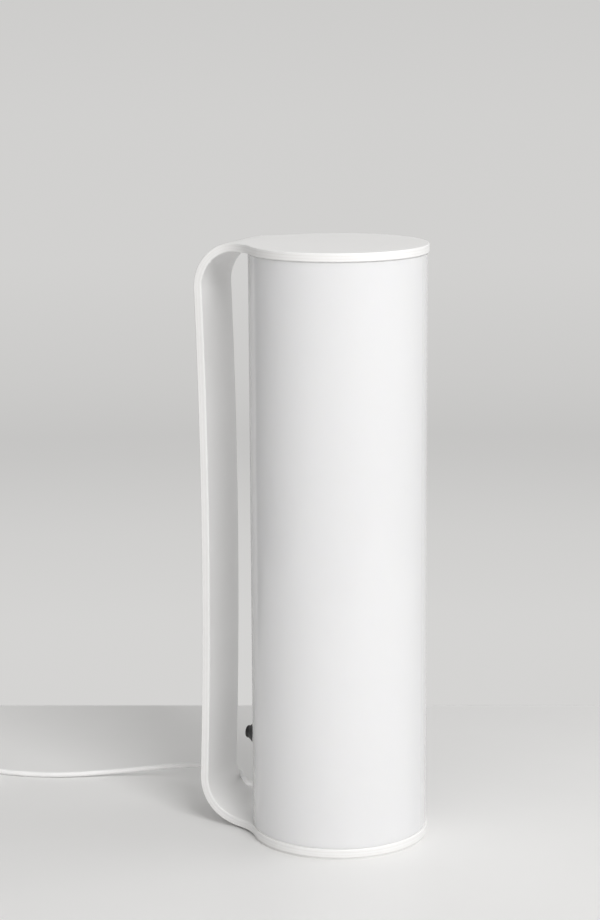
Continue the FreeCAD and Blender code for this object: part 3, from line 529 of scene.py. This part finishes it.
def coil_points():
    """The wound turns: strands side by side and layer on layer, lifted a little where the tie runs under."""
    strand = 2 * CORD_RADIUS
    # A quadratic spline runs inside its corners by this share.
    pull = 0.75 + 0.25 * math.cos(2 * math.pi / COIL_STEPS)
    points = []
    for step in range(COIL_TURNS * COIL_STEPS):
        travel = 360.0 * step / COIL_STEPS
        radius, level = COIL_START_RADIUS, CORD_RADIUS
        for end, outwards, up in COIL_MOVES:
            share = smooth_step((travel - end + MOVE_SPAN) / MOVE_SPAN)
            radius += share * outwards * strand
            level += share * up * strand
        turn = 90.0 + travel
        aside = (turn - TIE_TURN + 180.0) % 360.0 - 180.0
        level += TIE_LIFT * math.exp(-((aside / TIE_REACH) ** 2))
        angle = math.radians(turn)
        reach = radius / pull
        x = COIL_CENTRE[0] + reach * math.cos(angle)
        y = COIL_CENTRE[1] + reach * math.sin(angle)
        points.append((x, y, level))
    return points


def make_cord():
    """The free lead as one smooth line: laid, wound, and into the adapter's relief."""
    curve = bpy.data.curves.new("supply_lead_line", "CURVE")
    curve.dimensions = "3D"
    line = curve.splines.new("NURBS")
    points = CORD_ROUTE + coil_points() + CORD_END
    line.points.add(len(points) - 1)
    for point, place in zip(line.points, points):
        point.co = (*place, 1.0)
    line.order_u = 3
    line.use_endpoint_u = True
    line.resolution_u = 5
    curve.bevel_depth = CORD_RADIUS
    curve.bevel_resolution = 5
    curve.use_fill_caps = True
    cord = bpy.data.objects.new("laid_and_wound_cord", curve)
    bpy.context.scene.collection.objects.link(cord)
    dress(cord, finishes["cord_white"])
    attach(cord, "lamp")
    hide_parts("supply_cord", "cord_coil")
    return cord


def strap_outline(near, far, low, high, corner):
    """A rectangle with round corners in the plane of radius and height."""
    middle = ((near + far) / 2, (low + high) / 2)
    half = ((far - near) / 2, (high - low) / 2)
    return [(x, y) for x, y, _ in rounded_box_ring(0.0, 0.0, middle, half, corner, TIE_STEPS)]


def tie_place(radius, aside, level):
    """A point beside the coil's tied place, in the model's frame."""
    angle = math.radians(TIE_TURN)
    x = COIL_CENTRE[0] + radius * math.cos(angle) - aside * math.sin(angle)
    y = COIL_CENTRE[1] + radius * math.sin(angle) + aside * math.cos(angle)
    return x, y, level


def strap_section(radius, level, out, up):
    """The strap's cross-section at one place of its line: flat, with thinner edges."""
    half, thick = TIE_WIDTH / 2, TIE_THICKNESS / 2
    flat = half * 0.9
    corners = [
        (-half, -0.3), (-flat, -1.0), (0.0, -1.0), (flat, -1.0), (half, -0.3),
        (half, 0.3), (flat, 1.0), (0.0, 1.0), (-flat, 1.0), (-half, 0.3),
    ]
    return [tie_place(radius + out * s * thick, a, level + up * s * thick) for a, s in corners]


def outward(before, after):
    """The unit direction to the right of the way from one place to the next."""
    step = Vector((after[0] - before[0], after[1] - before[1])).normalized()
    return step.y, -step.x


def make_tie(shape):
    """A strap round the bundle, with a free end that lies on it."""
    line = strap_outline(TIE_NEAR, TIE_FAR, TIE_LOW, TIE_HIGH, TIE_ROUND)
    rings = []
    for i, (radius, level) in enumerate(line):
        out, up = outward(line[i - 1], line[(i + 1) % len(line)])
        rings.append(strap_section(radius, level, out, up))
    loft(shape, rings, closed=True)
    gap = TIE_THICKNESS * 1.05
    over = strap_outline(TIE_NEAR - gap, TIE_FAR + gap, TIE_LOW - gap, TIE_HIGH + gap, TIE_ROUND + gap)
    tail = over[:TIE_LAP]
    rings = []
    for i, (radius, level) in enumerate(tail):
        before, after = tail[max(i - 1, 0)], tail[min(i + 1, len(tail) - 1)]
        out, up = outward(before, after)
        rings.append(strap_section(radius, level, out, up))
    loft(shape, rings)


def adapter_outline():
    """Heights up the adapter's shell and how far it is drawn in at each: round edges, seam and sunk panel."""
    rounding = [math.pi / 2 * i / 6 for i in range(7)]
    foot = [(ADAPTER_ROUND * (1 - math.cos(a)), ADAPTER_ROUND * (1 - math.sin(a))) for a in rounding]
    head = [(ADAPTER_HEIGHT - z, inset) for z, inset in reversed(foot)]
    middle = ADAPTER_HEIGHT / 2
    seam = [(middle + rise, inset) for rise, inset in ADAPTER_SEAM]
    panel = [(ADAPTER_HEIGHT, PANEL_INSET), (ADAPTER_HEIGHT - PANEL_DEPTH, PANEL_INSET + PANEL_DEPTH)]
    return foot + seam + head + panel


def make_grip(shape, x, y):
    """One upright rib with round ends on the adapter's side."""
    low, high = GRIP_SPAN
    ends = [(low, 0.3), (low + GRIP_RADIUS, 1.0), (high - GRIP_RADIUS, 1.0), (high, 0.3)]
    steps = [2 * math.pi * i / 16 for i in range(16)]
    rings = []
    for z, share in ends:
        radius = GRIP_RADIUS * share
        rings.append([(x + radius * math.cos(a), y + radius * math.sin(a), z) for a in steps])
    loft(shape, rings)


def make_adapter(shape):
    """A plug-in adapter: rounded shell with a seam, a sunk panel, side grips and a ribbed relief."""
    box = (ADAPTER_CENTRE, ADAPTER_HALF, ADAPTER_CORNER)
    loft(shape, [rounded_box_ring(z, inset, *box) for z, inset in adapter_outline()])
    for side in (-1, 1):
        face = ADAPTER_CENTRE[1] + side * (ADAPTER_HALF[1] - GRIP_RADIUS / 2)
        for i in range(GRIP_COUNT):
            make_grip(shape, ADAPTER_CENTRE[0] + GRIP_START + GRIP_STEP * i, face)
    start = ADAPTER_CENTRE[0] + ADAPTER_HALF[0] - RELIEF_SUNK
    ribbed_relief(shape, start, RELIEF_END, RELIEF_RADII, ADAPTER_CENTRE[1], RELIEF_LEVEL, RELIEF_RIBS)


def make_spring(shape):
    """The button's return spring: a round wire wound about the switch's axis."""
    steps = SPRING_TURNS * SPRING_STEPS
    section = [2 * math.pi * k / SPRING_SIDES for k in range(SPRING_SIDES)]
    rings = []
    for i in range(steps + 1):
        turn = 2 * math.pi * i / SPRING_STEPS
        x = SPRING_BACK + (SPRING_FRONT - SPRING_BACK) * i / steps
        ring = []
        for a in section:
            reach = SPRING_RADIUS + SPRING_WIRE * math.cos(a)
            y, z = reach * math.cos(turn), SWITCH_LEVEL + reach * math.sin(turn)
            ring.append((x + SPRING_WIRE * math.sin(a), y, z))
        rings.append(ring)
    loft(shape, rings)


def ribbed_relief(shape, start, end, radii, y, z, ribs):
    """A tapered sleeve with cut rings, from its wide end to its narrow one."""
    wide, narrow = radii
    rings = [round_ring(start, wide, y, z)]
    body = end - start
    for i in range(ribs):
        near = start + body * (RIBS_START + RIBS_SPAN * i / ribs)
        step = body * RIBS_SPAN / ribs
        for share, cut in RIB_SHAPE:
            x = near + step * share
            radius = wide + (narrow - wide) * (x - start) / body
            rings.append(round_ring(x, radius * (1 - cut), y, z))
    rings.append(round_ring(end - body * 0.02, narrow, y, z))
    rings.append(round_ring(end, narrow * 0.94, y, z))
    loft(shape, rings)


def make_exit_relief(shape):
    """The lead's grommet in the tube: barb, stem, flange and a short ribbed taper."""
    y, z = CORD_EXIT[1:]
    loft(shape, [round_ring(x, radius, y, z) for x, radius in GROMMET])
    ribbed_relief(shape, TAPER_START, CORD_EXIT[0], TAPER_RADII, y, z, TAPER_RIBS)


def make_table():
    """A pale table top whose back edge runs behind the lamp."""
    shape = bmesh.new()
    bmesh.ops.create_cube(shape, size=1.0)
    deep = TABLE_BACK + TABLE_FRONT
    bmesh.ops.scale(shape, vec=(2 * TABLE_SIDE, deep, TABLE_DEPTH), verts=shape.verts)
    bmesh.ops.translate(shape, vec=(0.0, TABLE_BACK - deep / 2, -TABLE_DEPTH / 2), verts=shape.verts)
    bmesh.ops.bevel(shape, geom=shape.edges[:], offset=TABLE_EDGE, segments=3, affect="EDGES")
    mesh = bpy.data.meshes.new("table_top")
    shape.to_mesh(mesh)
    shape.free()
    table = bpy.data.objects.new("table_top", mesh)
    table.rotation_euler.z = math.radians(TABLE_TURN)
    bpy.context.scene.collection.objects.link(table)
    graph = Graph("table_paint", Specular_IOR_Level=0.35)
    cloud = graph.spread(graph.noise(5.0, 3.0), 0.0, 1.0)
    colour = graph.tint(cloud, (0.815, 0.813, 0.807), (0.835, 0.833, 0.827))
    fine = graph.noise(600.0, 3.0)
    gloss = graph.spread(graph.noise(30.0, 3.0), 0.34, 0.42)
    dress(table, graph.finish(colour, gloss, graph.relief(fine, 0.06, 0.0002)))


def make_backdrop():
    """Soft grey all round, with a darker band behind the lamp and a darker side of the room."""
    world = bpy.data.worlds.new("backdrop")
    bpy.context.scene.world = world
    world.use_nodes = True
    tree = world.node_tree
    way = add_node(tree, "TexCoord", out="Generated")
    height = add_node(tree, "SeparateXYZ", {0: way}, out="Z")
    reach = add_node(tree, "MapRange", {"Value": height, "From Min": -1.0})
    grey = add_node(tree, "ValToRGB", {0: reach})
    stops = grey.node.color_ramp.elements
    while len(stops) < len(BACKDROP):
        stops.new(0.5)
    for stop, (level, tone) in zip(stops, BACKDROP):
        stop.position = (level + 1.0) / 2
        stop.color = (*(tone * share for share in BACKDROP_TINT), 1.0)
    facing = add_node(tree, "VectorMath", {0: way, 1: SHADE_WAY}, out="Value", operation="DOT_PRODUCT")
    fall = {"Value": facing, "From Min": SHADE_START, "To Min": 1.0, "To Max": 1.0 - SHADE_DEPTH}
    shade = add_node(tree, "MapRange", fall)
    tree.links.new(grey, tree.nodes["Background"].inputs["Color"])
    tree.links.new(shade, tree.nodes["Background"].inputs["Strength"])


def around(azimuth, elevation, distance):
    """A place round the lamp's middle, with the azimuth counted from +X towards +Y."""
    turn, lift = math.radians(azimuth), math.radians(elevation)
    flat = distance * math.cos(lift)
    return flat * math.cos(turn), flat * math.sin(turn), LAMP_MIDDLE[2] + distance * math.sin(lift)


def make_light(name, direction, size, power, tone, glossy):
    """An area light that faces the lamp."""
    lamp = bpy.data.lights.new(name, "AREA")
    lamp.shape = "RECTANGLE"
    lamp.size, lamp.size_y = size
    lamp.energy = power
    lamp.color = tone
    obj = bpy.data.objects.new(name, lamp)
    obj.location = around(*direction)
    aim = Vector(LAMP_MIDDLE) - obj.location
    obj.rotation_mode = "QUATERNION"
    obj.rotation_quaternion = aim.to_track_quat("-Z", "Y")
    obj.visible_glossy = glossy
    bpy.context.scene.collection.objects.link(obj)


def make_camera():
    """A camera at the photograph's viewing angle."""
    camera = bpy.data.objects.new("camera", bpy.data.cameras.new("camera"))
    camera.data.lens = CAMERA_LENS
    camera.data.sensor_width = CAMERA_SENSOR
    camera.location = CAMERA_PLACE
    camera.rotation_mode = "QUATERNION"
    yaw = Quaternion((0, 0, 1), CAMERA_YAW)
    pitch = Quaternion((1, 0, 0), math.pi / 2 - CAMERA_PITCH)
    roll = Quaternion((0, 0, 1), CAMERA_ROLL)
    camera.rotation_quaternion = yaw @ pitch @ roll
    bpy.context.scene.collection.objects.link(camera)
    bpy.context.scene.camera = camera


finishes = make_finishes()
make_camera()
cord = make_cord()
for name, node in frame["nodes"].items():
    dress(node, finishes[slot_of(name)])
tie = new_piece("hook_and_loop_tie", make_tie, "tie_black", stands_for=["coil_tie"])
adapter = new_piece("plug_in_adapter", make_adapter, "adapter_white", stands_for=["power_adapter"])
new_piece("ribbed_exit_relief", make_exit_relief, "cord_white", stands_for=["cord_strain_relief"])
spring = new_piece("return_spring", make_spring, "spring_steel", stands_for=["switch_spring"])
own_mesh(spring)
make_table()
make_backdrop()
for name, values in LIGHTS.items():
    make_light(name, *values)
bpy.context.scene.view_settings.view_transform = "Standard"
